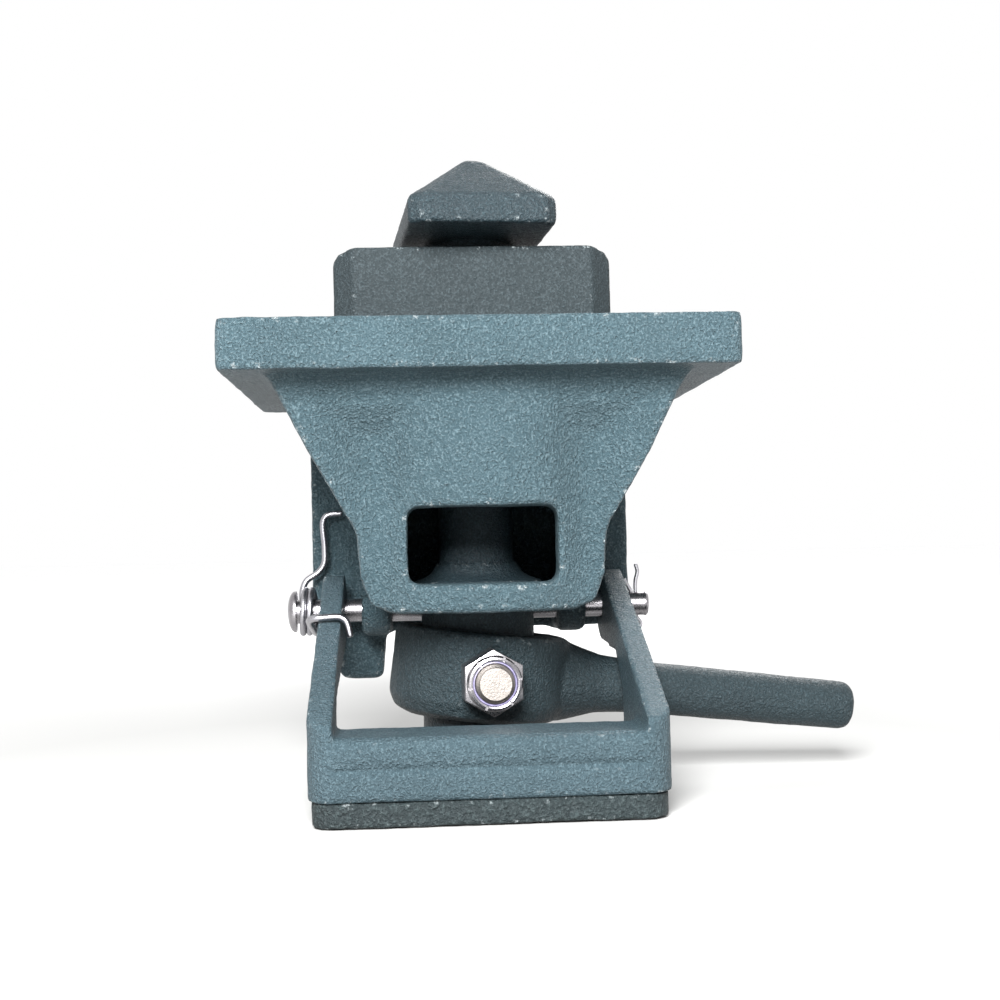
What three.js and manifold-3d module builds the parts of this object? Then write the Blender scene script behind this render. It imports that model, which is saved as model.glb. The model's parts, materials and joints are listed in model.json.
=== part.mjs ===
// Container twist lock for a trailer: a cast housing with a weld-in flange, a shear block on top,
// a turning lock spindle with a handle at its foot, and a spring-loaded safety bail.
// Millimetres, +Z up. The origin is the centre of the flange's top face, on the spindle's axis.
// +X runs along the trailer, and -Y faces the person who works the lock.
import * as THREE from 'three';
import { mergeVertices } from 'three/addons/utils/BufferGeometryUtils.js';
import Module from 'manifold-3d';

const wasm = await Module();
wasm.setup();

// Driving dimensions
const flangeWidth = 203;
const flangeDepth = 178;
const flangeThick = 20;
const wall = 10;
const housingFront = -69;
const housingRear = 58;
const housingBottom = -115;
const blockLength = 119;
const blockWidth = 60;
const blockHeight = 38.5;
const headLength = 104;
const headWidth = 62;
const headUnderside = 43.7;
const lockedTurn = THREE.MathUtils.degToRad(4.5);
const shaftRadius = 16.5;
const sleeveRadius = 24.7;
const boltHeight = -144.5;
const boltRadius = 8;
const handleDroop = THREE.MathUtils.degToRad(7);
const handleReach = 170.5;
const pinY = 40;
const pinZ = -117.5;
const pinRadius = 5.5;
const bailHalfWidth = 69.7;
const bailArmThick = 10;
const bailFront = -93.5;
const runningGap = 0.3;
const pinClearance = 0.4;
const seatGap = 0.1;
const roundSteps = 32;

// Derived sizes
const flangeUnder = -flangeThick;
const rearWallBack = housingRear + wall;
const floorTop = housingBottom + 6;
const bushingWall = 4.2;
const bushingBore = shaftRadius + runningGap;
const bushingOuter = shaftRadius + bushingWall + runningGap;
const earHalfGap = 38;
const earThick = 14;

const castPaint = { color: 0x4f6f7b, roughness: 0.62, metalness: 0.1 };
const blockPaint = { color: 0x55686d, roughness: 0.68, metalness: 0.1 };
const brightSteel = { color: 0xb8b6b4, roughness: 0.3, metalness: 1 };
const bronze = { color: 0x9a7a45, roughness: 0.45, metalness: 1 };

// A closed geometry becomes a solid that can be cut and joined.
function toSolid(geometry) {
  const bare = geometry.clone();
  bare.deleteAttribute('normal');
  bare.deleteAttribute('uv');
  const merged = mergeVertices(bare, 1e-4);
  const vertProperties = merged.attributes.position.array;
  const triVerts = new Uint32Array(merged.index.array);
  return new wasm.Manifold(new wasm.Mesh({ numProp: 3, vertProperties, triVerts }));
}

function toGeometry(solid) {
  const mesh = solid.getMesh();
  const geometry = new THREE.BufferGeometry();
  geometry.setAttribute('position', new THREE.BufferAttribute(mesh.vertProperties, 3));
  geometry.setIndex(new THREE.BufferAttribute(mesh.triVerts, 1));
  return geometry;
}

const join = (...solids) => solids.reduce((sum, solid) => sum.add(solid));
const cut = (first, ...others) => others.reduce((left, solid) => left.subtract(solid), first);

function extruded(shape, depth, curveSegments = 8) {
  return new THREE.ExtrudeGeometry(shape, { depth, bevelEnabled: false, curveSegments });
}

// Prisms along each axis: the shape is drawn in (Y, Z), (X, Z) or (X, Y).
function prismX(shape, x0, x1) {
  const axes = [new THREE.Vector3(0, 1, 0), new THREE.Vector3(0, 0, 1), new THREE.Vector3(1, 0, 0)];
  const turn = new THREE.Matrix4().makeBasis(...axes);
  return toSolid(extruded(shape, x1 - x0).applyMatrix4(turn).translate(x0, 0, 0));
}

function prismY(shape, y0, y1) {
  return toSolid(extruded(shape, y1 - y0).rotateX(Math.PI / 2).translate(0, y1, 0));
}

function prismZ(shape, z0, z1) {
  return toSolid(extruded(shape, z1 - z0).translate(0, 0, z0));
}

function box(x0, x1, y0, y1, z0, z1) {
  const geometry = new THREE.BoxGeometry(x1 - x0, y1 - y0, z1 - z0);
  return toSolid(geometry.translate((x0 + x1) / 2, (y0 + y1) / 2, (z0 + z1) / 2));
}

function cylinderZ(radius, z0, z1, steps = roundSteps) {
  const geometry = new THREE.CylinderGeometry(radius, radius, z1 - z0, steps);
  return toSolid(geometry.rotateX(Math.PI / 2).translate(0, 0, (z0 + z1) / 2));
}

function cylinderX(radius, x0, x1, y, z) {
  const geometry = new THREE.CylinderGeometry(radius, radius, x1 - x0, roundSteps);
  return toSolid(geometry.rotateZ(Math.PI / 2).translate((x0 + x1) / 2, y, z));
}

function cylinderY(radius, y0, y1, z, steps = roundSteps) {
  const geometry = new THREE.CylinderGeometry(radius, radius, y1 - y0, steps);
  return toSolid(geometry.translate(0, (y0 + y1) / 2, z));
}

// A turned piece about Z, from [radius, height] points that run upwards along its outside.
function turned(points, steps = roundSteps) {
  const profile = points.map(([radius, height]) => new THREE.Vector2(radius, height));
  return new THREE.LatheGeometry(profile, steps).rotateX(Math.PI / 2);
}

function polygon(points) {
  return new THREE.Shape(points.map(([a, b]) => new THREE.Vector2(a, b)));
}

function mirrored(points) {
  return [...points, ...points.map(([x, z]) => [-x, z]).reverse()];
}

// A rectangle from corner (x0, y0) to (x1, y1) with one radius on all four corners.
function roundedRectangle(x0, y0, x1, y1, radius) {
  const shape = new THREE.Shape();
  shape.absarc(x1 - radius, y0 + radius, radius, -Math.PI / 2, 0);
  shape.absarc(x1 - radius, y1 - radius, radius, 0, Math.PI / 2);
  shape.absarc(x0 + radius, y1 - radius, radius, Math.PI / 2, Math.PI);
  shape.absarc(x0 + radius, y0 + radius, radius, Math.PI, Math.PI * 1.5);
  return shape;
}

// The housing's outline in (X, Z), offset inwards by `inset`: half is drawn and then mirrored.
function housingOutline(inset, top, bottom) {
  const corner = 12 - inset * 0.6;
  const foot = 48.5 - inset;
  const half = [
    [84 - inset, top],
    [80 - inset, -27],
    [68.5 - inset, -50],
    [50.5 - inset * 0.9, -82],
    [foot, bottom + corner],
    [foot - corner * 0.3, bottom + corner * 0.3],
    [foot - corner, bottom],
  ];
  return polygon(mirrored(half));
}

// The front wall seen from above: wings at the sides, a valley each side, and a central bulge.
function frontWallPlan() {
  const valleyDepth = 9;
  const front = new THREE.SplineCurve([
    new THREE.Vector2(-92, housingFront + 3),
    new THREE.Vector2(-66, housingFront),
    new THREE.Vector2(-43, housingFront + valleyDepth),
    new THREE.Vector2(-24, housingFront - 1),
    new THREE.Vector2(0, housingFront - 4),
    new THREE.Vector2(24, housingFront - 1),
    new THREE.Vector2(43, housingFront + valleyDepth),
    new THREE.Vector2(66, housingFront),
    new THREE.Vector2(92, housingFront + 3),
  ]);
  const inner = housingFront + valleyDepth + wall;
  const points = front.getPoints(32).map((p) => [p.x, p.y]);
  return polygon([...points, [92, inner], [-92, inner]]);
}

// A concave strip that blends the front wall into the flange's underside. Its underside slopes
// back into the valleys, so that they fade out below it.
function flangeFillet(radius, halfLength) {
  const top = flangeUnder;
  const steps = 5;
  const back = housingFront + 12;
  const points = [[back, top]];
  for (let i = 0; i <= steps; i += 1) {
    const angle = (i / steps) * (Math.PI / 2);
    points.push([housingFront + radius * (Math.sin(angle) - 1), top + radius * (Math.cos(angle) - 1)]);
  }
  points.push([back, top - radius - 16]);
  return prismX(polygon(points), -halfLength, halfLength);
}

function pinEar(side) {
  const radius = 12;
  const shape = new THREE.Shape();
  shape.moveTo(housingRear + 2, housingBottom + 4);
  shape.lineTo(pinY - radius, housingBottom + 4);
  shape.lineTo(pinY - radius, pinZ);
  shape.absarc(pinY, pinZ, radius, Math.PI, Math.PI * 1.5);
  shape.lineTo(housingRear + 2, pinZ - radius);
  const inner = earHalfGap;
  return side < 0 ? prismX(shape, -inner - earThick, -inner) : prismX(shape, inner, inner + earThick);
}

function rearWallShape() {
  const half = 76;
  const archTop = -128;
  const legBottom = -151;
  const points = [
    [half, flangeUnder],
    [half, -112],
    [half - 14, archTop],
    [-41, archTop],
    [-43, legBottom + 2],
    [-45, legBottom],
    [-61, legBottom],
    [-64, legBottom + 3],
    [-66, -126],
    [-half, -112],
    [-half, flangeUnder],
  ];
  return polygon(points);
}

const blockScrewX = 42;
const blockScrewRadius = 6;

function bodyCasting() {
  const w = flangeWidth / 2;
  const d = flangeDepth / 2;
  const plate = prismZ(roundedRectangle(-w, -d, w, d, 4), flangeUnder, 0);
  const outer = prismY(housingOutline(0, flangeUnder, housingBottom), housingFront - 6, housingRear + 2);
  const cavity = prismY(housingOutline(wall, flangeUnder, floorTop), housingFront, housingRear);
  const shell = cut(outer, cavity, box(-95, 95, housingFront - 8, housingFront + 16, -130, flangeUnder));
  const front = prismZ(frontWallPlan(), housingBottom, flangeUnder).intersect(outer);
  const rear = prismY(rearWallShape(), housingRear, rearWallBack);
  const upperBoss = cylinderZ(30, flangeUnder - 20, flangeUnder + 1);
  const fillet = flangeFillet(12, w).intersect(outer);
  const whole = join(plate, shell, front, rear, fillet, upperBoss, pinEar(-1), pinEar(1));
  const window = roundedRectangle(-30, -103.5, 30, -73, 4);
  const holes = [-1, 1].map((side) => cylinderZ(blockScrewRadius + 0.5, flangeUnder - 1, 1)
    .translate([side * blockScrewX, 0, 0]));
  return toGeometry(cut(
    whole,
    prismY(window, housingFront - 20, housingFront + 30),
    cylinderZ(bushingOuter + 0.2, flangeUnder - 25, 5),
    cylinderZ(29.5, housingBottom - 5, floorTop + 5),
    cylinderX(pinRadius + pinClearance, -90, 90, pinY, pinZ),
    ...holes,
  ));
}

function shearBlock() {
  const chamfer = 9;
  const l = blockLength / 2;
  const w = blockWidth / 2;
  const plan = polygon([
    [l, -w + chamfer], [l, w - chamfer], [l - chamfer, w], [-l + chamfer, w],
    [-l, w - chamfer], [-l, -w + chamfer], [-l + chamfer, -w], [l - chamfer, -w],
  ]);
  const side = polygon(mirrored([
    [l, 0],
    [l, blockHeight - 5],
    [l - 2.5, blockHeight - 1.8],
    [l - chamfer, blockHeight],
  ]));
  const screwHoles = [-1, 1].map((s) => cylinderZ(blockScrewRadius + 0.3, -1, 24)
    .translate([s * blockScrewX, 0, 0]));
  const solid = prismZ(plan, 0, blockHeight).intersect(prismY(side, -w, w));
  return toGeometry(cut(solid, cylinderZ(bushingOuter + 0.2, -5, blockHeight + 5), ...screwHoles));
}

function blockScrew() {
  const headRadius = 9;
  const headDepth = 12;
  const seat = flangeUnder;
  const body = join(
    cylinderZ(blockScrewRadius, seat - 1, 22, 24),
    cylinderZ(headRadius, seat - headDepth, seat, 24),
  );
  const socket = new THREE.CylinderGeometry(5.8, 5.8, 6, 6).rotateX(Math.PI / 2);
  return toGeometry(cut(body, toSolid(socket.translate(0, 0, seat - headDepth + 2.9))));
}

function upperBushing() {
  const low = flangeUnder - 18;
  return toGeometry(cut(
    cylinderZ(bushingOuter, low, blockHeight - 1),
    cylinderZ(bushingBore, low - 1, blockHeight),
  ));
}

const bushingFlangeTop = floorTop + 2;

function lowerBushing() {
  const outer = 29;
  const bore = sleeveRadius + runningGap;
  const body = turned([
    [bore, housingBottom],
    [outer, housingBottom],
    [outer, floorTop + seatGap],
    [outer + 3, floorTop + seatGap],
    [outer + 3, bushingFlangeTop],
    [bore, bushingFlangeTop],
    [bore, housingBottom],
  ], 40);
  return toGeometry(toSolid(body));
}

const thrustWasherTop = bushingFlangeTop + 1.6;

function thrustWasher() {
  const washer = cylinderZ(31, bushingFlangeTop + seatGap, thrustWasherTop);
  return toGeometry(cut(washer, cylinderZ(sleeveRadius + runningGap, -200, 0)));
}

// The head's pyramid: a skirt, then four slopes up to a small flat.
function spindleHead() {
  const l = headLength / 2;
  const w = headWidth / 2;
  const skirtTop = 55;
  const ridge = 76;
  const crown = 79.5;
  const sections = [
    [headUnderside, w - 1, l - 1],
    [headUnderside + 1.2, w, l],
    [skirtTop - 1, w, l],
    [skirtTop + 1, w - 1.2, l - 1.2],
    [ridge, 6, 23],
    [crown, 3.4, 12],
  ];
  const corner = 5;
  const outline = (hw, hl) => {
    const c = Math.min(corner, hw * 0.5);
    return [
      [hw, -hl + c], [hw, hl - c], [hw - c, hl], [-hw + c, hl],
      [-hw, hl - c], [-hw, -hl + c], [-hw + c, -hl], [hw - c, -hl],
    ];
  };
  const positions = [];
  sections.forEach(([z, hw, hl]) => outline(hw, hl).forEach(([x, y]) => positions.push(x, y, z)));
  const count = outline(w, l).length;
  const index = [];
  for (let s = 0; s < sections.length - 1; s += 1) {
    for (let i = 0; i < count; i += 1) {
      const a = s * count + i;
      const b = s * count + ((i + 1) % count);
      index.push(a, b, b + count, a, b + count, a + count);
    }
  }
  const top = (sections.length - 1) * count;
  for (let i = 1; i < count - 1; i += 1) {
    index.push(0, i + 1, i);
    index.push(top, top + i, top + i + 1);
  }
  const geometry = new THREE.BufferGeometry();
  geometry.setAttribute('position', new THREE.Float32BufferAttribute(positions, 3));
  geometry.setIndex(index);
  return toSolid(geometry);
}

const shaftFoot = -170;

function lockSpindle() {
  const shaft = turned([
    [0, shaftFoot],
    [shaftRadius - 1.5, shaftFoot],
    [shaftRadius, shaftFoot + 1.5],
    [shaftRadius, headUnderside - 3.5],
    [shaftRadius + 3, headUnderside + 1],
    [0, headUnderside + 1],
  ]);
  const boltHole = cylinderY(boltRadius + runningGap, -40, 40, boltHeight, 24);
  return toGeometry(cut(join(toSolid(shaft), spindleHead()), boltHole));
}

function spindleSleeve() {
  const bore = shaftRadius + runningGap;
  const sleeve = turned([
    [bore, shaftFoot - 1],
    [sleeveRadius - 1, shaftFoot - 1],
    [sleeveRadius, shaftFoot],
    [sleeveRadius, thrustWasherTop + seatGap],
    [sleeveRadius + 4, thrustWasherTop + seatGap],
    [sleeveRadius + 4, thrustWasherTop + 1.2],
    [sleeveRadius - 1, thrustWasherTop + 2.8],
    [20, thrustWasherTop + 5],
    [18, thrustWasherTop + 8.5],
    [bore, thrustWasherTop + 10.5],
    [bore, shaftFoot - 1],
  ], 40);
  const boltHole = cylinderY(boltRadius + runningGap, -40, 40, boltHeight, 24);
  return toGeometry(cut(toSolid(sleeve), boltHole));
}

const hubRadius = 38.5;
const hubHalfHeight = 19;
const boltSeat = 37.3;

// The handle is drawn about its own hub centre, with the bar along +X.
function handleForging() {
  const hub = turned([
    [0, -hubHalfHeight],
    [hubRadius - 8, -hubHalfHeight],
    [hubRadius - 2.6, -hubHalfHeight + 2.4],
    [hubRadius, -hubHalfHeight + 8],
    [hubRadius, hubHalfHeight - 3],
    [hubRadius - 1, hubHalfHeight - 1],
    [hubRadius - 3, hubHalfHeight],
    [0, hubHalfHeight],
  ], 40);
  const barRadius = 11.7;
  const tipRadius = 10.8;
  const bar = turned([
    [0, 20],
    [18.4, 26],
    [18.2, 36],
    [15.6, 44],
    [12.9, 53],
    [barRadius, 66],
    [tipRadius, handleReach - 4],
    [tipRadius - 1.2, handleReach - 1.2],
    [tipRadius - 4, handleReach],
    [0, handleReach],
  ], 24).rotateY(Math.PI / 2);
  const whole = join(toSolid(hub), toSolid(bar));
  const tilt = new THREE.Matrix4().makeRotationY(-handleDroop);
  const boreTool = new THREE.CylinderGeometry(sleeveRadius + runningGap, sleeveRadius + runningGap, 90, 40);
  const bore = toSolid(boreTool.rotateX(Math.PI / 2).applyMatrix4(tilt));
  const seats = [-1, 1].map((side) => cylinderY(15.5, Math.min(side * boltSeat, side * 60),
    Math.max(side * boltSeat, side * 60), 0));
  const boltHole = cylinderY(boltRadius + runningGap, -60, 60, 0, 24);
  return toGeometry(cut(whole, bore, boltHole, ...seats));
}

// Hexagons keep a flat up and a flat down.
function hexagonY(acrossFlats, y0, y1) {
  const corner = acrossFlats / Math.sqrt(3);
  const geometry = new THREE.CylinderGeometry(corner, corner, y1 - y0, 6);
  geometry.rotateY(Math.PI / 6).translate(0, (y0 + y1) / 2, 0);
  return toSolid(geometry);
}

const hexFlats = 24;
const nutThick = 13;
const boltTip = -56;

function crossBolt() {
  const shank = new THREE.LatheGeometry([
    new THREE.Vector2(0, boltTip),
    new THREE.Vector2(boltRadius - 1.2, boltTip),
    new THREE.Vector2(boltRadius, boltTip + 1.4),
    new THREE.Vector2(boltRadius, boltSeat + 1),
    new THREE.Vector2(0, boltSeat + 1),
  ], 24);
  return toGeometry(join(toSolid(shank), hexagonY(hexFlats, boltSeat + 0.2, boltSeat + 10)));
}

function lockNut() {
  const base = -boltSeat - 0.2;
  const crownTip = base - nutThick - 4;
  const collar = cylinderY(11.4, crownTip, base - nutThick + 1, 0);
  const whole = join(hexagonY(hexFlats, base - nutThick, base), collar);
  const notches = [];
  for (let i = 0; i < 6; i += 1) {
    const notch = new THREE.BoxGeometry(1.2, 3, 8).translate(0, crownTip, 10.5);
    notches.push(toSolid(notch.rotateY((i + 0.5) * (Math.PI / 3))));
  }
  return toGeometry(cut(whole, cylinderY(boltRadius + runningGap, -80, 0, 0, 24), ...notches));
}

// Bail: drawn in the row's own (Y, Z), then moved so that its pin hole is its origin.
const pivotRadius = 16.5;
const crossbarRear = -60;
const crossbarTop = -159.8;
const crossbarUnder = -184;

function bailArm(side) {
  const armTopFront = [bailFront, -155.5];
  const under = side > 0
    ? [[-7, -136.5], [-25, -151], [-25, -176], [crossbarRear, crossbarUnder]]
    : [[-24, -144], [-50, -150], [crossbarRear, crossbarUnder]];
  const slope = Math.atan2(pinZ + pivotRadius - armTopFront[1], pinY - armTopFront[0]);
  const shape = new THREE.Shape();
  shape.moveTo(bailFront, crossbarUnder);
  [...under].reverse().forEach(([y, z]) => shape.lineTo(y, z));
  shape.absarc(pinY, pinZ, pivotRadius, -Math.PI / 2 - 0.15, Math.PI / 2 + slope);
  shape.lineTo(...armTopFront);
  const outer = side * bailHalfWidth;
  const inner = side * (bailHalfWidth - bailArmThick);
  return prismX(shape, Math.min(outer, inner), Math.max(outer, inner));
}

function bailCasting() {
  const groove = 1.6;
  const section = polygon([
    [crossbarRear, crossbarUnder],
    [crossbarRear, crossbarTop],
    [bailFront + 4, crossbarTop],
    [bailFront + 1.2, crossbarTop - 1.2],
    [bailFront, crossbarTop - 4],
    [bailFront, crossbarTop - 10],
    [bailFront + groove, crossbarTop - 11.8],
    [bailFront, crossbarTop - 13.6],
    [bailFront, crossbarUnder + 1.5],
    [bailFront + 1.5, crossbarUnder],
  ].reverse());
  const bar = prismX(section, -bailHalfWidth, bailHalfWidth);
  const plan = roundedRectangle(-bailHalfWidth, bailFront, bailHalfWidth, 140, 11);
  const whole = join(bar, bailArm(-1), bailArm(1)).intersect(prismZ(plan, -220, -80));
  const hole = cylinderX(pinRadius + pinClearance, -90, 90, pinY, pinZ);
  return toGeometry(cut(whole, hole).translate([0, -pinY, -pinZ]));
}

function bailWeight() {
  const inset = 1.6;
  const w = bailHalfWidth - inset;
  const plan = roundedRectangle(-w, bailFront + inset, w, crossbarRear - 1, 9);
  const depth = 9.5;
  return toGeometry(prismZ(plan, -depth, 0));
}

const pinHeadEnd = -86.4;
const pinTip = 82;
const cotterX = 75.4;

function hingePin() {
  const headRadius = 9.5;
  const profile = [
    [0, pinHeadEnd],
    [5, pinHeadEnd + 0.5],
    [8.2, pinHeadEnd + 1.9],
    [headRadius, pinHeadEnd + 3.4],
    [headRadius, pinHeadEnd + 4.2],
    [pinRadius, pinHeadEnd + 4.2],
    [pinRadius, pinTip - 2],
    [pinRadius + 0.3, pinTip - 1],
    [pinRadius - 0.8, pinTip],
    [0, pinTip],
  ];
  const body = toSolid(turned(profile).rotateY(Math.PI / 2));
  const cotterHole = cylinderZ(2.3, -10, 10, 16).translate([cotterX, 0, 0]);
  return toGeometry(cut(body, cotterHole));
}

// A wire of round section along a smooth path through hand-placed points.
function wire(points, radius, steps, sides = 8) {
  const path = new THREE.CatmullRomCurve3(points.map((p) => new THREE.Vector3(...p)), false, 'centripetal');
  const section = new THREE.Shape();
  for (let i = 0; i < sides; i += 1) {
    const angle = (i / sides) * Math.PI * 2;
    const place = [radius * Math.cos(angle), radius * Math.sin(angle)];
    if (i === 0) section.moveTo(...place);
    else section.lineTo(...place);
  }
  return new THREE.ExtrudeGeometry(section, { steps, bevelEnabled: false, extrudePath: path });
}

// The cotter's eye hangs below the pin, and its two legs spread above it.
function cotterPin() {
  const leg = 0.95;
  const eye = 3.4;
  const points = [
    [-4.2, 0, 11.5],
    [-2.6, 0, 8.5],
    [-leg, 0, 5],
    [-leg, 0, -5.5],
    [-eye, 0, -9.5],
    [0, 0, -13],
    [eye, 0, -9.5],
    [leg, 0, -5.5],
    [leg, 0, 5],
    [1.2, 0, 11],
    [2.2, 0, 15],
    [1.4, 0, 18.5],
  ];
  return toGeometry(toSolid(wire(points, 0.8, 60, 6)));
}

// The torsion spring is coiled round the pin between its head and the left arm. Its upper leg
// bears on the rear wall, and its lower leg runs forward and hooks over the arm.
function torsionSpring() {
  const coilRadius = 9.9;
  const startX = -80.2;
  const pitch = 3;
  const turns = 2.25;
  const perTurn = 12;
  const points = [
    [-61, 10.2, 45.6],
    [-67.5, 10.2, 45],
    [-69.8, 10.2, 42.4],
    [-69.4, 10.2, 30],
    [-69.8, 10.2, 22],
    [-72.5, 10.1, 18],
    [-78.5, 10, 13.8],
    [startX - 0.2, 9.9, 8],
  ];
  for (let i = 0; i <= turns * perTurn; i += 1) {
    const angle = Math.PI / 2 + (i / perTurn) * Math.PI * 2;
    const x = startX + (i / perTurn) * pitch;
    points.push([x, coilRadius * Math.sin(angle), coilRadius * Math.cos(angle)]);
  }
  points.push(
    [-73.2, -10, -9.2],
    [-73.4, -30, -5.4],
    [-73.2, -46, -1.8],
    [-71.2, -49.6, -0.9],
    [-66, -50.6, -0.6],
    [-60, -51, -0.5],
    [-57.2, -51.4, -2.2],
    [-55.4, -52, -9],
  );
  return toGeometry(toSolid(wire(points, 1.35, 190)));
}

const group = new THREE.Group();

function addMesh(parent, name, geometry, look, position = [0, 0, 0]) {
  const mesh = new THREE.Mesh(geometry, new THREE.MeshStandardMaterial(look));
  mesh.name = name;
  mesh.position.set(...position);
  parent.add(mesh);
  return mesh;
}

// Fixed pieces
addMesh(group, 'body_casting', bodyCasting(), castPaint);
addMesh(group, 'shear_block', shearBlock(), blockPaint);
addMesh(group, 'block_screw_left', blockScrew(), brightSteel, [-blockScrewX, 0, 0]);
addMesh(group, 'block_screw_right', blockScrew(), brightSteel, [blockScrewX, 0, 0]);
addMesh(group, 'upper_bushing', upperBushing(), bronze);
addMesh(group, 'lower_bushing', lowerBushing(), bronze);
addMesh(group, 'thrust_washer', thrustWasher(), brightSteel);

// The turning lock, shown locked
const lock = new THREE.Group();
lock.rotation.z = lockedTurn;
group.add(lock);
addMesh(lock, 'lock_spindle', lockSpindle(), castPaint);
addMesh(lock, 'spindle_sleeve', spindleSleeve(), castPaint);
const handle = addMesh(lock, 'handle', handleForging(), castPaint, [0, 0, boltHeight]);
handle.rotation.y = handleDroop;
addMesh(lock, 'cross_bolt', crossBolt(), brightSteel, [0, 0, boltHeight]);
addMesh(lock, 'lock_nut', lockNut(), brightSteel, [0, 0, boltHeight]);

// The safety bail and its hinge
const hinge = new THREE.Group();
hinge.position.set(0, pinY, pinZ);
group.add(hinge);
addMesh(hinge, 'bail', bailCasting(), castPaint);
addMesh(group, 'bail_weight', bailWeight(), blockPaint, [0, 0, crossbarUnder]);
addMesh(hinge, 'hinge_pin', hingePin(), brightSteel);
addMesh(hinge, 'cotter_pin', cotterPin(), brightSteel, [cotterX, 0, 0]);
addMesh(hinge, 'torsion_spring', torsionSpring(), brightSteel);

export default group;
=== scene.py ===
import json
import math

import bmesh
import bpy
from mathutils import Matrix, Vector, noise


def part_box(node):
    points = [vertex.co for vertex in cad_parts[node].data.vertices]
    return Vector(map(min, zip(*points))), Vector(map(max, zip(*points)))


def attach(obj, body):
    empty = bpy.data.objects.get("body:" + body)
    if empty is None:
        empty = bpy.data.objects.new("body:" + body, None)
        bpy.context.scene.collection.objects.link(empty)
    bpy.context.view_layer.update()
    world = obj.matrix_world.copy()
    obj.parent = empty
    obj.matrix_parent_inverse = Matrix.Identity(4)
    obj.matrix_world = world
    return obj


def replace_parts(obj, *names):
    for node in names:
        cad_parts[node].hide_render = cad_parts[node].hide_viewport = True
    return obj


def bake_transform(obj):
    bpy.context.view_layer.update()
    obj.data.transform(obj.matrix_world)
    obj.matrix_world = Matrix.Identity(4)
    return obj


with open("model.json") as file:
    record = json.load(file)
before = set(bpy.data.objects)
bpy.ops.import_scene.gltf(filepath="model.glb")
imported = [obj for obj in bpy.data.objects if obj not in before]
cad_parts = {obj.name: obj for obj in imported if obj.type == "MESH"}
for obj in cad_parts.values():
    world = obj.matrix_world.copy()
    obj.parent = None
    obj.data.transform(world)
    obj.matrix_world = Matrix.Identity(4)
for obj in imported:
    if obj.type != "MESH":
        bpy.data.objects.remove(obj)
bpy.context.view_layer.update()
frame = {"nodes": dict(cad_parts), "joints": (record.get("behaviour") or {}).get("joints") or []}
mm = 0.001


# Housing: one iron casting, poured in a sand mould, so its skin is gritty, its corners are round and
# its faces are never quite flat. It is painted blue-grey, and the paint is chipped where edges get
# knocked. It is set in the trailer's bolster and welded round its flange.
def linear(code):
    channels = [int(code[i:i + 2], 16) / 255 for i in (1, 3, 5)]
    lit = [c / 12.92 if c <= 0.04045 else ((c + 0.055) / 1.055) ** 2.4 for c in channels]
    return (*lit, 1.0)


def add_node(material, kind, settings=None, inputs=None):
    made = material.node_tree.nodes.new("ShaderNode" + kind)
    for name, value in (settings or {}).items():
        setattr(made, name, value)
    for name, value in (inputs or {}).items():
        if isinstance(value, bpy.types.NodeSocket):
            material.node_tree.links.new(value, made.inputs[name])
        else:
            made.inputs[name].default_value = value
    return made


MIX_FACTOR, MIX_FROM, MIX_TO, MIX_OUT = 0, 6, 7, 2


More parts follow.
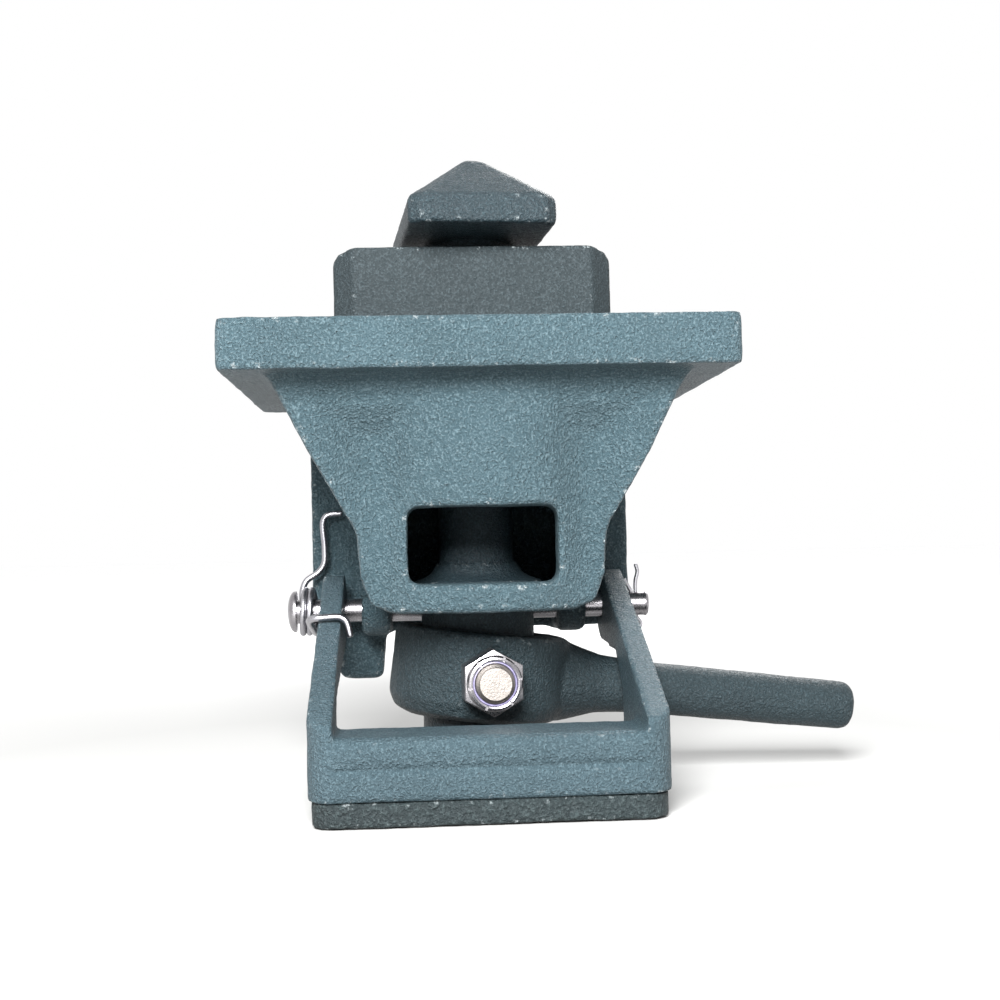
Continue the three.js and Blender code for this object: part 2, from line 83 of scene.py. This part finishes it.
def painted_casting(name, paint_low, paint_high, grit_highlight_tone, grit, depth, chipping, roughness=0.5):
    """Alkyd paint over cast iron. The sand's grit shows through it as fine bumps, their peaks lightened
    as a painted highlight. Hollow corners are darkened as painted shade, and the paint chips to bare
    metal along edges. Grit and depth are in mm."""
    material = bpy.data.materials.new(name)
    material.use_nodes = True
    material.node_tree.nodes.clear()
    place = add_node(material, "TexCoord").outputs["Object"]
    patch_size, lump_size, chip_size = 38 * mm, 2.6 * grit * mm, 3.2 * mm
    patches = add_node(material, "TexNoise", inputs={
        "Vector": place, "Scale": 1 / patch_size, "Detail": 3.0}).outputs["Fac"]
    grains = add_node(material, "TexNoise", inputs={
        "Vector": place, "Scale": 1 / (grit * mm), "Detail": 3.0, "Roughness": 0.6}).outputs["Fac"]
    lumps = add_node(material, "TexNoise", inputs={
        "Vector": place, "Scale": 1 / lump_size, "Detail": 2.0}).outputs["Fac"]
    flakes = add_node(material, "TexNoise", inputs={
        "Vector": place, "Scale": 1 / chip_size, "Detail": 4.0, "Roughness": 0.7}).outputs["Fac"]
    sharpness = add_node(material, "NewGeometry").outputs["Pointiness"]
    edge = add_node(material, "MapRange", inputs={
        "Value": sharpness, "From Min": 0.51, "From Max": 0.545}).outputs["Result"]
    # Painted shade: the colour darkens where the surface is hollow, in inner corners and creases.
    crevice_painted_shade = add_node(material, "MapRange", inputs={
        "Value": sharpness, "From Min": 0.48, "From Max": 0.42, "To Max": 0.65}).outputs["Result"]
    flaked = add_node(material, "MapRange", inputs={
        "Value": flakes, "From Min": 0.59, "From Max": 0.68, "To Max": chipping}).outputs["Result"]
    chipped = add_node(material, "Math", {"operation": "MULTIPLY"}, {0: edge, 1: flaked}).outputs[0]
    # Painted highlight: the grit's raised peaks are lightened towards a pale tone, as if catching the
    # light.
    grit_painted_highlight = add_node(material, "MapRange", inputs={
        "Value": grains, "From Min": 0.48, "From Max": 0.76, "To Max": 0.4}).outputs["Result"]
    colour = add_node(material, "Mix", {"data_type": "RGBA"}, {
        MIX_FACTOR: patches, MIX_FROM: linear(paint_low),
        MIX_TO: linear(paint_high)}).outputs[MIX_OUT]
    # Mixes the pale tone onto the grit's peaks as a painted highlight.
    colour = add_node(material, "Mix", {"data_type": "RGBA"}, {
        MIX_FACTOR: grit_painted_highlight, MIX_FROM: colour, MIX_TO: linear(grit_highlight_tone)}).outputs[MIX_OUT]
    # Mixes a dark blue-grey into the hollow corners as painted shade.
    colour = add_node(material, "Mix", {"data_type": "RGBA"}, {
        MIX_FACTOR: crevice_painted_shade, MIX_FROM: colour, MIX_TO: linear("#1b2629")}).outputs[MIX_OUT]
    colour = add_node(material, "Mix", {"data_type": "RGBA"}, {
        MIX_FACTOR: chipped, MIX_FROM: colour, MIX_TO: linear("#a3abad")}).outputs[MIX_OUT]
    gloss = add_node(material, "MapRange", inputs={
        "Value": grains, "From Min": 0.35, "From Max": 0.7,
        "To Min": roughness + 0.12, "To Max": roughness - 0.08}).outputs["Result"]
    swell = add_node(material, "Bump", inputs={
        "Height": lumps, "Strength": 0.8, "Distance": depth * 1.3 * mm}).outputs["Normal"]
    skin = add_node(material, "Bump", inputs={
        "Height": grains, "Strength": 1.0, "Distance": depth * 1.5 * mm,
        "Normal": swell}).outputs["Normal"]
    shader = add_node(material, "BsdfPrincipled", inputs={
        "Base Color": colour, "Metallic": chipped, "Roughness": gloss, "Normal": skin, "IOR": 1.5,
        "Specular IOR Level": 0.28})
    add_node(material, "OutputMaterial", inputs={"Surface": shader.outputs["BSDF"]})
    return material


def settled(piece):
    """Puts a piece's modifiers into its mesh."""
    graph = bpy.context.evaluated_depsgraph_get()
    mesh = bpy.data.meshes.new_from_object(piece.evaluated_get(graph))
    piece.modifiers.clear()
    piece.data = mesh
    return piece


def merged_copy(node, name):
    shape = bmesh.new()
    shape.from_mesh(frame["nodes"][node].data)
    bmesh.ops.remove_doubles(shape, verts=shape.verts, dist=0.002 * mm)
    mesh = bpy.data.meshes.new(name)
    shape.to_mesh(mesh)
    shape.free()
    mesh.materials.clear()
    piece = bpy.data.objects.new(name, mesh)
    bpy.context.scene.collection.objects.link(piece)
    return piece


def as_cast(node, name, body, voxel, rounding, ripple, material):
    """A casting's skin from the plain CAD solid: one even mesh, its corners rounded by smoothing,
    then a shallow unevenness from the mould. Voxel and ripple are in mm."""
    piece = merged_copy(node, name)
    remesh = piece.modifiers.new("even_mesh", "REMESH")
    remesh.mode = "VOXEL"
    remesh.voxel_size = voxel * mm
    smooth = piece.modifiers.new("round_corners", "SMOOTH")
    smooth.factor = 0.5
    smooth.iterations = rounding
    settled(piece)
    mesh = piece.data
    wave, pit = 14 * mm, 4 * mm
    moved = []
    for vertex in mesh.vertices:
        broad = noise.noise(vertex.co / wave)
        fine = noise.noise(vertex.co / pit)
        moved.append(vertex.co + vertex.normal * (broad + 0.6 * fine) * ripple * mm)
    for vertex, place in zip(mesh.vertices, moved):
        vertex.co = place
    mesh.shade_smooth()
    mesh.materials.append(material)
    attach(piece, body)
    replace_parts(piece, node)
    return piece


# In each painted_casting call, the third colour is the pale tone of the painted highlight on the grit's
# peaks.
housing_paint = painted_casting(
    "sand_cast_iron_painted", "#28393f", "#374a51", "#80949b", grit=0.9, depth=1.5, chipping=1.0,
    roughness=0.42)
as_cast("body_casting", "housing_skin", "housing", 1.8, 5, 0.3, housing_paint)


# Shear block: a separate casting that stands in the container's aperture and takes the sideways
# load. It is dressed smooth, so its paint is thinner, flatter and greyer.
block_paint = painted_casting(
    "dressed_cast_iron_thin_paint", "#151d20", "#1c2528", "#465257", grit=0.8, depth=0.5,
    chipping=0.8, roughness=0.6)
as_cast("shear_block", "shear_block_skin", "housing", 1.3, 4, 0.14, block_paint)


# Block screws, bushings and thrust washer: stock turned parts, sunk in the housing. The screws and
# the washer are zinc-plated steel, and the bushings are oiled bronze. The CAD solids are kept.
def turned_metal(name, low, high, grain, roughness, height):
    """Bare turned or plated metal: a slight change of tone, and fine marks that spread the glint.
    Grain and height are in mm."""
    material = bpy.data.materials.new(name)
    material.use_nodes = True
    material.node_tree.nodes.clear()
    place = add_node(material, "TexCoord").outputs["Object"]
    cloud = add_node(material, "TexNoise", inputs={
        "Vector": place, "Scale": 1 / (9 * mm), "Detail": 4.0}).outputs["Fac"]
    marks = add_node(material, "TexNoise", inputs={
        "Vector": place, "Scale": 1 / (grain * mm), "Detail": 3.0, "Roughness": 0.65}).outputs["Fac"]
    colour = add_node(material, "Mix", {"data_type": "RGBA"}, {
        MIX_FACTOR: cloud, MIX_FROM: linear(low), MIX_TO: linear(high)}).outputs[MIX_OUT]
    gloss = add_node(material, "MapRange", inputs={
        "Value": marks, "From Min": 0.3, "From Max": 0.7,
        "To Min": roughness - 0.07, "To Max": roughness + 0.1}).outputs["Result"]
    skin = add_node(material, "Bump", inputs={
        "Height": marks, "Strength": 0.5, "Distance": height * mm}).outputs["Normal"]
    shader = add_node(material, "BsdfPrincipled", inputs={
        "Base Color": colour, "Metallic": 1.0, "Roughness": gloss, "Normal": skin})
    add_node(material, "OutputMaterial", inputs={"Surface": shader.outputs["BSDF"]})
    return material


def dress(node, material):
    slots = frame["nodes"][node].material_slots
    for place in slots:
        place.material = material


zinc = turned_metal(
    "zinc_plated_steel", "#77757a", "#b3b0b2", grain=0.5, roughness=0.27, height=0.03)
bronze = turned_metal(
    "oiled_bearing_bronze", "#7b5d31", "#a98548", grain=0.6, roughness=0.38, height=0.03)
for node in ("block_screw_left", "block_screw_right", "thrust_washer"):
    dress(node, zinc)
for node in ("upper_bushing", "lower_bushing"):
    dress(node, bronze)


# Lock spindle and sleeve: the head and shaft are one steel forging, and a flared sleeve is fixed
# round its foot. Their paint is the darkest on the lock, over a smoother skin than the housing's.
forged_paint = painted_casting(
    "forged_steel_painted", "#101a1f", "#172429", "#43555b", grit=0.9, depth=0.7, chipping=0.9,
    roughness=0.42)
as_cast("lock_spindle", "spindle_skin", "lock", 1.3, 4, 0.2, forged_paint)
as_cast("spindle_sleeve", "sleeve_skin", "lock", 1.0, 2, 0.06, forged_paint)


# Handle: a forged hub with a bar drawn out of one side, clamped on the sleeve by the cross bolt.
# Its paint is nearly as dark as the spindle's.
handle_paint = painted_casting(
    "forged_handle_painted", "#131e22", "#1a272b", "#42535a", grit=0.9, depth=0.8, chipping=0.7,
    roughness=0.46)
as_cast("handle", "handle_skin", "lock", 1.2, 4, 0.22, handle_paint)


# Cross bolt: a zinc-plated M16 bolt through hub, sleeve and shaft. Its end is sawn and chamfered,
# and its last threads stand out of the nut.
lock_joint = next(joint for joint in frame["joints"] if joint["name"] == "lock_turn")
head_off_square = math.radians(4.5)
locked_turn = Matrix.Rotation(head_off_square, 4, "Z")
bolt_place = Matrix.Translation(Vector(lock_joint["pos_m"])) @ locked_turn


def spun_about_y(points, steps=72):
    """A solid of revolution about Y, from (radius, y) points in mm that run from end to end."""
    shape = bmesh.new()
    outline = [shape.verts.new((radius * mm, y * mm, 0)) for radius, y in points]
    edges = [shape.edges.new(pair) for pair in zip(outline, outline[1:])]
    bmesh.ops.spin(
        shape, geom=outline + edges, cent=(0, 0, 0), axis=(0, 1, 0), angle=math.tau, steps=steps,
        use_merge=True)
    bmesh.ops.remove_doubles(shape, verts=shape.verts, dist=0.005 * mm)
    bmesh.ops.recalc_face_normals(shape, faces=shape.faces)
    return shape


def piece_from(shape, name, body, material, place=Matrix.Identity(4)):
    bmesh.ops.transform(shape, matrix=place, verts=shape.verts)
    mesh = bpy.data.meshes.new(name)
    shape.to_mesh(mesh)
    shape.free()
    mesh.materials.append(material)
    piece = bpy.data.objects.new(name, mesh)
    bpy.context.scene.collection.objects.link(piece)
    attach(piece, body)
    mesh.shade_smooth()
    mesh.set_sharp_from_angle(angle=math.radians(32))
    return piece


def add_hexagon(shape, across_flats, y_from, y_to, softened=0.5 * mm):
    """Adds a hexagonal bolt head or nut, one flat up, to the shape."""
    before = set(shape.verts)
    bmesh.ops.create_cone(
        shape, cap_ends=True, segments=6, radius1=across_flats / math.sqrt(3),
        radius2=across_flats / math.sqrt(3), depth=abs(y_to - y_from),
        matrix=Matrix.Translation((0, (y_from + y_to) / 2, 0)) @ Matrix.Rotation(math.pi / 2, 4, "X"))
    new = [v for v in shape.verts if v not in before]
    edges = {edge for vertex in new for edge in vertex.link_edges}
    bmesh.ops.bevel(
        shape, geom=list(edges), offset=softened, segments=3, profile=0.5, affect="EDGES", material=-1)


thread_pitch = 2.0
across_flats = 24 * mm
bolt_outline = [(0, -56), (6.5, -56), (7.0, -55.5)]
for turn in range(9):
    y = -55.2 + turn * thread_pitch
    bolt_outline += [(6.9, y), (7.9, y + 0.8), (7.9, y + 1.1), (6.9, y + 1.9)]
bolt_outline += [(8, -36), (8, 38), (0, 38)]
bolt = spun_about_y(bolt_outline)
add_hexagon(bolt, across_flats, 37.5 * mm, 47.3 * mm)
bolt_zinc = turned_metal(
    "zinc_plated_sawn_steel", "#77726e", "#aaa49f", grain=0.9, roughness=0.42, height=0.3)
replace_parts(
    piece_from(bolt, "cross_bolt_zinc", "lock", bolt_zinc, bolt_place), "cross_bolt")


# Lock nut: a zinc-plated nylon-insert nut. Its hexagon carries a rolled collar, crimped in six
# places over a ring of dyed nylon that grips the thread.
nut = spun_about_y([
    (8.4, -37.5), (8.4, -52.4), (8.9, -53.3), (9.3, -54.4), (9.9, -54.6), (10.7, -54.3), (11.2, -53.6),
    (11.4, -52.6), (11.4, -50), (8.4, -37.5)])
add_hexagon(nut, across_flats, -50.5 * mm, -37.5 * mm)
nut_piece = piece_from(nut, "lock_nut_zinc", "lock", zinc, bolt_place)
crimps = bmesh.new()
crimp_count = 6
collar_crown, collar_radius = -54.4, 10.6
for turn in range(crimp_count):
    around = Matrix.Rotation((turn + 0.35) * math.tau / crimp_count, 4, "Y")
    size = Matrix.Diagonal((1.0 * mm, 2.2 * mm, 2.6 * mm, 1))
    outwards = Matrix.Translation((0, collar_crown * mm, collar_radius * mm))
    bmesh.ops.create_cube(crimps, size=1, matrix=around @ outwards @ size)
bmesh.ops.transform(crimps, matrix=bolt_place, verts=crimps.verts)
crimp_mesh = bpy.data.meshes.new("crimps")
crimps.to_mesh(crimp_mesh)
crimps.free()
crimp_tool = bpy.data.objects.new("crimps", crimp_mesh)
bpy.context.scene.collection.objects.link(crimp_tool)
cut = nut_piece.modifiers.new("crimp", "BOOLEAN")
cut.operation = "DIFFERENCE"
cut.object = crimp_tool
settled(nut_piece)
bpy.data.objects.remove(crimp_tool)
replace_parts(nut_piece, "lock_nut")

nylon = bpy.data.materials.new("dyed_nylon_moulded")
nylon.use_nodes = True
nylon.node_tree.nodes.clear()
nylon_place = add_node(nylon, "TexCoord").outputs["Object"]
nylon_cloud = add_node(nylon, "TexNoise", inputs={"Vector": nylon_place, "Scale": 1 / (2 * mm)})
nylon_colour = add_node(nylon, "Mix", {"data_type": "RGBA"}, {
    MIX_FACTOR: nylon_cloud.outputs["Fac"], MIX_FROM: linear("#4a4660"), MIX_TO: linear("#8d88a6")})
nylon_shader = add_node(nylon, "BsdfPrincipled", inputs={
    "Base Color": nylon_colour.outputs[MIX_OUT], "Roughness": 0.35, "IOR": 1.53})
add_node(nylon, "OutputMaterial", inputs={"Surface": nylon_shader.outputs["BSDF"]})
insert = spun_about_y([
    (8.1, -50), (8.1, -53), (8.5, -53.7), (8.9, -53.6), (9.1, -53), (9.1, -50), (8.1, -50)])
piece_from(insert, "lock_nut_insert", "lock", nylon, bolt_place)


# Safety bail: a cast frame whose two arms hang from the hinge pin and whose crossbar lies under the
# handle.
bail_paint = painted_casting(
    "cast_bail_painted", "#26353b", "#33444b", "#6d828a", grit=0.9, depth=1.1, chipping=0.8,
    roughness=0.45)
as_cast("bail", "bail_skin", "safety_bail", 1.3, 3, 0.2, bail_paint)


# Weight bar: a flame-cut steel bar welded under the crossbar. Its cut faces are left coarse, and
# the paint on them is dark and full of grit.
weight_paint = painted_casting(
    "flame_cut_steel_painted", "#141b1d", "#1c2628", "#4b5859", grit=1.3, depth=1.2, chipping=0.7,
    roughness=0.55)
as_cast("bail_weight", "bail_weight_skin", "safety_bail", 1.0, 3, 0.4, weight_paint)


# Hinge pin: a zinc-plated steel rivet-headed pin through both arms and both ears.
hinge_joint = next(joint for joint in frame["joints"] if joint["name"] == "bail_lift")
pin_low, pin_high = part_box("hinge_pin")
head_end, pin_end = pin_low.x / mm, pin_high.x / mm
head_radius, dome_height, pin_radius = 9.5, 3.4, 5.5
dome_angles = [math.radians(step * 9) for step in range(11)]
dome = [
    (head_radius * math.sin(a), head_end + dome_height * (1 - math.cos(a))) for a in dome_angles]
pin = spun_about_y(dome + [
    (head_radius, head_end + 4.2), (pin_radius, head_end + 4.2), (pin_radius, pin_end - 2),
    (5.8, pin_end - 1.2),
    (5.3, pin_end - 0.3), (4.6, pin_end), (0, pin_end)])
along_x = Matrix.Translation(Vector(hinge_joint["pos_m"])) @ Matrix.Rotation(-math.pi / 2, 4, "Z")
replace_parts(piece_from(pin, "hinge_pin_zinc", "housing", zinc, along_x), "hinge_pin")


# Cotter pin and torsion spring: bent from plated wire. The cotter keeps the pin in, and the spring
# is wound round the pin with one leg on the rear wall and one hooked over the left arm.
wire_zinc = turned_metal("zinc_plated_wire", "#85848a", "#bdbcc0", grain=0.7, roughness=0.3, height=0.02)


def round_wire(node, name):
    """Rounds the CAD wire's flats, and gives back the thickness that the rounding takes off."""
    piece = merged_copy(node, name)
    rounder = piece.modifiers.new("round_wire", "SUBSURF")
    rounder.levels = 2
    rounder.render_levels = 2
    settled(piece)
    regained = 0.22 * mm
    moved = [vertex.co + vertex.normal * regained for vertex in piece.data.vertices]
    for vertex, place in zip(piece.data.vertices, moved):
        vertex.co = place
    piece.data.shade_smooth()
    piece.data.materials.append(wire_zinc)
    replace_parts(piece, node)
    return piece


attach(round_wire("cotter_pin", "cotter_wire"), "housing")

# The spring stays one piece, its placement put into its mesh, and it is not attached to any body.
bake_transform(round_wire("torsion_spring", "spring_wire"))


# Studio: a pale floor under the lock, grey close to it as painted shade and white further out, a white
# surround and two large soft lights.
floor_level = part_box("bail_weight")[0].z
floor_shape = bmesh.new()
floor_half_width = 12
bmesh.ops.create_grid(floor_shape, x_segments=1, y_segments=1, size=floor_half_width)
bmesh.ops.translate(floor_shape, verts=floor_shape.verts, vec=(0, 0, floor_level - 0.5 * mm))
floor_mesh = bpy.data.meshes.new("floor")
floor_shape.to_mesh(floor_mesh)
floor_shape.free()
floor = bpy.data.objects.new("floor", floor_mesh)
bpy.context.scene.collection.objects.link(floor)
floor_finish = bpy.data.materials.new("matt_white_board")
floor_finish.use_nodes = True
floor_finish.node_tree.nodes.clear()
floor_place = add_node(floor_finish, "TexCoord").outputs["Object"]
floor_reach = add_node(
    floor_finish, "VectorMath", {"operation": "LENGTH"}, {0: floor_place}).outputs["Value"]
# Painted shade: the floor is grey within about 0.35 m of the lock and fades to white by 1.3 m.
floor_painted_shade_fade = add_node(floor_finish, "MapRange", inputs={
    "Value": floor_reach, "From Min": 0.35, "From Max": 1.3}).outputs["Result"]
floor_tone_with_shade = add_node(floor_finish, "Mix", {"data_type": "RGBA"}, {
    MIX_FACTOR: floor_painted_shade_fade, MIX_FROM: linear("#a6a6a5"), MIX_TO: linear("#ffffff")}).outputs[MIX_OUT]
floor_shader = add_node(floor_finish, "BsdfPrincipled", inputs={
    "Base Color": floor_tone_with_shade, "Roughness": 0.9})
add_node(floor_finish, "OutputMaterial", inputs={"Surface": floor_shader.outputs["BSDF"]})
floor_mesh.materials.append(floor_finish)

world = bpy.data.worlds.new("white_surround")
world.use_nodes = True
world.node_tree.nodes["Background"].inputs["Color"].default_value = (1, 1, 1, 1)
world.node_tree.nodes["Background"].inputs["Strength"].default_value = 1.0
bpy.context.scene.world = world


def soft_light(name, place, target, size, power):
    lamp = bpy.data.lights.new(name, "AREA")
    lamp.size = size
    lamp.energy = power
    holder = bpy.data.objects.new(name, lamp)
    holder.location = place
    holder.rotation_euler = (Vector(target) - Vector(place)).to_track_quat("-Z", "Y").to_euler()
    bpy.context.scene.collection.objects.link(holder)


soft_light("key", (-0.12, -0.82, 0.28), (0, 0, -0.08), 0.30, 34)
soft_light("rear", (0.5, 1.3, 0.7), (0, 0, -0.06), 0.8, 14)


# Camera: low, in front and a little to the left, looking slightly upwards.
camera_data = bpy.data.cameras.new("camera")
camera_data.sensor_width = 36
camera_data.lens = 52.07
camera_data.clip_start = 0.01
camera = bpy.data.objects.new("camera", camera_data)
yaw, pitch, roll = (math.radians(angle) for angle in (3.51, 1.75, -1.29))
ahead = Vector((math.sin(yaw) * math.cos(pitch), math.cos(yaw) * math.cos(pitch), math.sin(pitch)))
level = Vector((math.cos(yaw), -math.sin(yaw), 0))
upright = level.cross(ahead)
right = math.cos(roll) * level + math.sin(roll) * upright
up = math.cos(roll) * upright - math.sin(roll) * level
turn = Matrix((right, up, -ahead)).transposed().to_4x4()
camera_place = Vector((-0.02811, -0.63807, -0.0882))
camera.matrix_world = Matrix.Translation(camera_place) @ turn
bpy.context.scene.collection.objects.link(camera)
bpy.context.scene.camera = camera
bpy.context.scene.view_settings.view_transform = "Standard"
